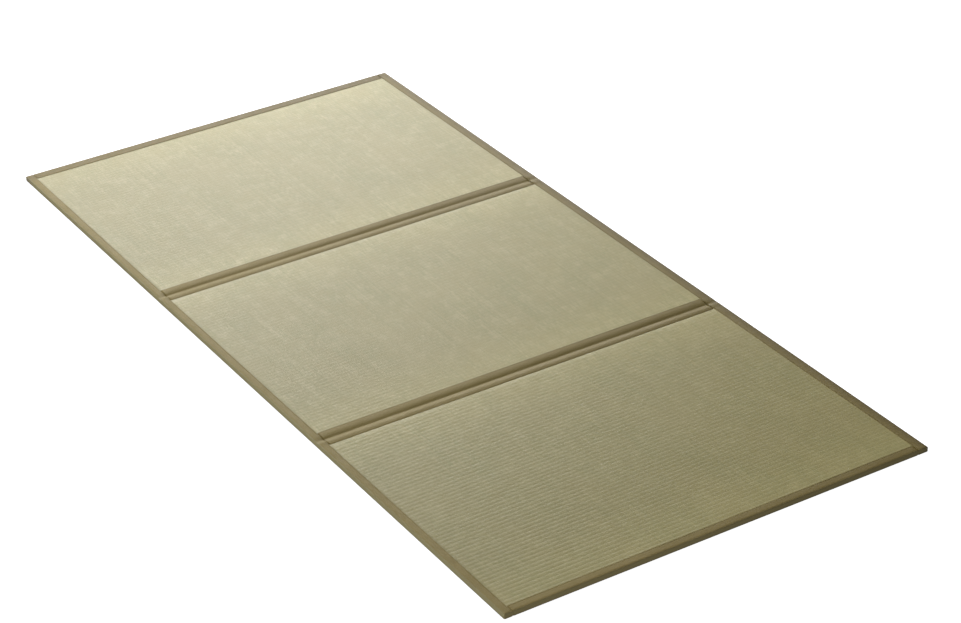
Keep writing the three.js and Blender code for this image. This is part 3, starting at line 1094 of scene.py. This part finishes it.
def sew(name, lines, sizes):
    """Sews a row of stitches along each line of points."""
    curve = bpy.data.curves.new(f"{name}_line", "CURVE")
    curve.dimensions = "3D"
    for line in lines:
        spline = curve.splines.new("POLY")
        spline.points.add(len(line) - 1)
        for point, place in zip(spline.points, line):
            point.co = (*place, 1.0)
    source = bpy.data.objects.new(f"{name}_line", curve)
    bpy.context.scene.collection.objects.link(source)
    material = shared_material("sewing_thread")
    tree = bpy.data.node_groups.get("sew_seam") or stitching_tree()
    settings = {
        "Stitch pitch": sizes.stitch_pitch, "Stitch length": sizes.stitch_length,
        "Thread": sizes.thread, "Seed": float(sizes.seed), "Material": material,
    }
    piece = grown(name, source, tree, settings, material)
    place_piece(piece)
    return piece


class TATAMI_OT_side_bindings(bpy.types.Operator):
    """Wrap the two long sides in cloth and sew it down"""

    bl_idname = "tatami.side_bindings"
    bl_label = "Side bindings"

    def execute(self, context):
        sizes = context.scene.tatami_sizes
        for side, word in ((-1, "left"), (1, "right")):
            width = BINDING_WIDTHS[word]
            mesh = side_binding_mesh(f"side_binding_{word}", side, width, sizes.uneven)
            piece = new_object(mesh.name, mesh, shared_material("olive_cloth"))
            thicken(piece)
            place_piece(piece, f"binding_{word}")
            u = width - STITCH_INSET
            height = edge_height(u, width) + STITCH_LIFT
            ends = HALF_LENGTH - CROWN_INSET
            line = [
                (side * (HALF_WIDTH - u), y, height + fold_relief(y, u / width))
                for y in stations(-ends, ends, LINE_STEP)
            ]
            stitches = sew(f"stitches_{word}", [line], sizes)
            flat = (cloth_length(edge_section(width)), 2 * (HALF_LENGTH + CROWN_HEIGHT))
        return {"FINISHED"}


def add_band(word, name, node, section, place, seams, salt, flip, sizes):
    """Makes a band across the mat with its rows of stitches."""
    mesh = band_across(name, section, place, sizes.uneven, salt, flip)
    piece = new_object(name, mesh, shared_material("olive_cloth"))
    thicken(piece)
    place_piece(piece, node)
    left, right = LEFT_SEAM + MILLIMETRE, RIGHT_SEAM - MILLIMETRE
    lines = []
    for at, z in seams:
        y, height = place(at, z + STITCH_LIFT)
        lines.append([(x, y, height - tuck_at(x)) for x in stations(left, right, LINE_STEP)])
    stitches = sew(f"stitches_{word}", lines, sizes)
    xs = band_stations()
    flat = (xs[-1] - xs[0], cloth_length(section))


class TATAMI_OT_end_bindings(bpy.types.Operator):
    """Wrap the two ends in cloth and sew it down"""

    bl_idname = "tatami.end_bindings"
    bl_label = "End bindings"

    def execute(self, context):
        for end, word in ((-1, "front"), (1, "back")):
            width = BINDING_WIDTHS[word]
            u = width - STITCH_INSET
            add_band(
                word, f"end_binding_{word}", f"binding_{word}", section=edge_section(width),
                place=lambda u, z, end=end: (end * (HALF_LENGTH - u), z),
                seams=[(u, edge_height(u, width))],
                salt=END_SALT + end, flip=end > 0, sizes=context.scene.tatami_sizes)
        return {"FINISHED"}


class TATAMI_OT_fold_bands(bpy.types.Operator):
    """Lay a cloth band over each fold and sew it down on both sides"""

    bl_idname = "tatami.fold_bands"
    bl_label = "Fold bands"

    def execute(self, context):
        places = (FOLD_BACK_REACH - STITCH_INSET, STITCH_INSET - FOLD_FRONT_REACH)
        for word, fold in FOLD_LINES.items():
            add_band(
                f"fold_{word}", f"fold_cover_{word}", f"fold_band_{word}", section=fold_section(),
                place=lambda v, z, fold=fold: (fold + v, z),
                seams=[(v, fold_height(v)) for v in places],
                salt=FOLD_SALT + fold, flip=False, sizes=context.scene.tatami_sizes)
        return {"FINISHED"}


# The photo's camera, as solved from the mat's straight edges and seams

LENS = 106.54
SENSOR = 36.0
CAMERA_AZIMUTH = math.radians(-30.596)
CAMERA_ELEVATION = math.radians(29.887)
CAMERA_ROLL = math.radians(-2.318)
CAMERA_DISTANCE = 6.037
CAMERA_TARGET = Vector((0.0614, -0.0864, 0.0))
VIEW_REACH = 500.0

# Floor and room. The lights face the middle of the mat: place, width, height, power and colour

FLOOR_HALF = 150.0
FLOOR_GLOW = 0.96
ROOM_GLOW = 0.105
ROOM_COLOUR = (0.97, 0.98, 1.0)
WHITE = (1.0, 1.0, 1.0)
LIGHTS = {
    "back_window": ((1.03, 5.775, 2.457), 5.0, 0.4, 295.0, WHITE),
    "side_window": ((3.2, 5.0, 2.4), 3.0, 0.4, 135.0, WHITE),
    "left_fill": ((-5.0, 0.3, 0.7), 3.6, 1.0, 118.0, (0.9, 0.97, 1.1)),
    "front_fill": ((-0.8, -5.0, 0.9), 3.0, 1.6, 32.0, WHITE),
}


def aimed(location, forward, roll):
    """Placement of a camera or light at a place that looks along a direction."""
    right = forward.cross(Vector((0, 0, 1))).normalized()
    up = right.cross(forward).normalized()
    turned_right = right * math.cos(roll) + up * math.sin(roll)
    turned_up = up * math.cos(roll) - right * math.sin(roll)
    matrix = Matrix((turned_right, turned_up, -forward)).transposed().to_4x4()
    matrix.translation = location
    return matrix


def add_camera():
    back = Vector((
        math.sin(CAMERA_AZIMUTH) * math.cos(CAMERA_ELEVATION),
        -math.cos(CAMERA_AZIMUTH) * math.cos(CAMERA_ELEVATION),
        math.sin(CAMERA_ELEVATION),
    ))
    data = bpy.data.cameras.new("camera")
    data.lens = LENS
    data.sensor_width = SENSOR
    data.clip_end = VIEW_REACH
    camera = bpy.data.objects.new("camera", data)
    bpy.context.scene.collection.objects.link(camera)
    camera.matrix_world = aimed(CAMERA_TARGET + back * CAMERA_DISTANCE, -back, CAMERA_ROLL)
    bpy.context.scene.camera = camera


def add_area_light(name, location, width, height, power, colour):
    data = bpy.data.lights.new(name, "AREA")
    data.shape = "RECTANGLE"
    data.size = width
    data.size_y = height
    data.energy = power
    data.color = colour
    light = bpy.data.objects.new(name, data)
    bpy.context.scene.collection.objects.link(light)
    place = Vector(location)
    light.matrix_world = aimed(place, -place.normalized(), 0.0)


def add_floor(colour):
    mesh = bpy.data.meshes.new("studio_floor")
    corners = [(-1, -1), (1, -1), (1, 1), (-1, 1)]
    mesh.from_pydata([(x * FLOOR_HALF, y * FLOOR_HALF, 0) for x, y in corners], [], [(0, 1, 2, 3)])
    floor = new_object("studio_floor", mesh, floor_material(colour))
    floor.visible_diffuse = False
    floor.visible_glossy = False


def add_room():
    world = bpy.data.worlds.new("soft_room")
    world.use_nodes = True
    backdrop = world.node_tree.nodes["Background"]
    backdrop.inputs["Color"].default_value = rgba(ROOM_COLOUR)
    backdrop.inputs["Strength"].default_value = ROOM_GLOW
    bpy.context.scene.world = world


class TATAMI_OT_stage(bpy.types.Operator):
    """Set up the floor, the lights and the photo's camera"""

    bl_idname = "tatami.stage"
    bl_label = "Stage"

    def execute(self, context):
        add_floor(context.scene.tatami_colours.floor)
        add_room()
        for name, light in LIGHTS.items():
            add_area_light(name, *light)
        context.scene.view_settings.view_transform = "Standard"
        add_camera()
        return {"FINISHED"}


class TATAMI_PT_mat(bpy.types.Panel):
    """Tatami mat pieces in the sidebar"""

    bl_idname = "TATAMI_PT_mat"
    bl_label = "Tatami mat"
    bl_space_type = "VIEW_3D"
    bl_region_type = "UI"
    bl_category = "Tatami"

    def draw(self, context):
        for group in (context.scene.tatami_sizes, context.scene.tatami_colours):
            for name in group.__annotations__:
                self.layout.prop(group, name)
        for operator in OPERATORS:
            self.layout.operator(operator.bl_idname)


OPERATORS = (
    TATAMI_OT_finishes,
    TATAMI_OT_rush_panels,
    TATAMI_OT_side_bindings,
    TATAMI_OT_end_bindings,
    TATAMI_OT_fold_bands,
    TATAMI_OT_stage,
)
CLASSES = (TatamiSizes, TatamiColours, *OPERATORS, TATAMI_PT_mat)


def register():
    for item in CLASSES:
        bpy.utils.register_class(item)
    bpy.types.Scene.tatami_sizes = bpy.props.PointerProperty(type=TatamiSizes)
    bpy.types.Scene.tatami_colours = bpy.props.PointerProperty(type=TatamiColours)


def unregister():
    del bpy.types.Scene.tatami_colours
    del bpy.types.Scene.tatami_sizes
    for item in reversed(CLASSES):
        bpy.utils.unregister_class(item)


def main():
    """Makes every piece and the stage."""
    register()
    bpy.ops.tatami.finishes()
    bpy.ops.tatami.rush_panels()
    bpy.ops.tatami.side_bindings()
    bpy.ops.tatami.end_bindings()
    bpy.ops.tatami.fold_bands()
    bpy.ops.tatami.stage()
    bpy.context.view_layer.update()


if __name__ == "__main__":
    main()
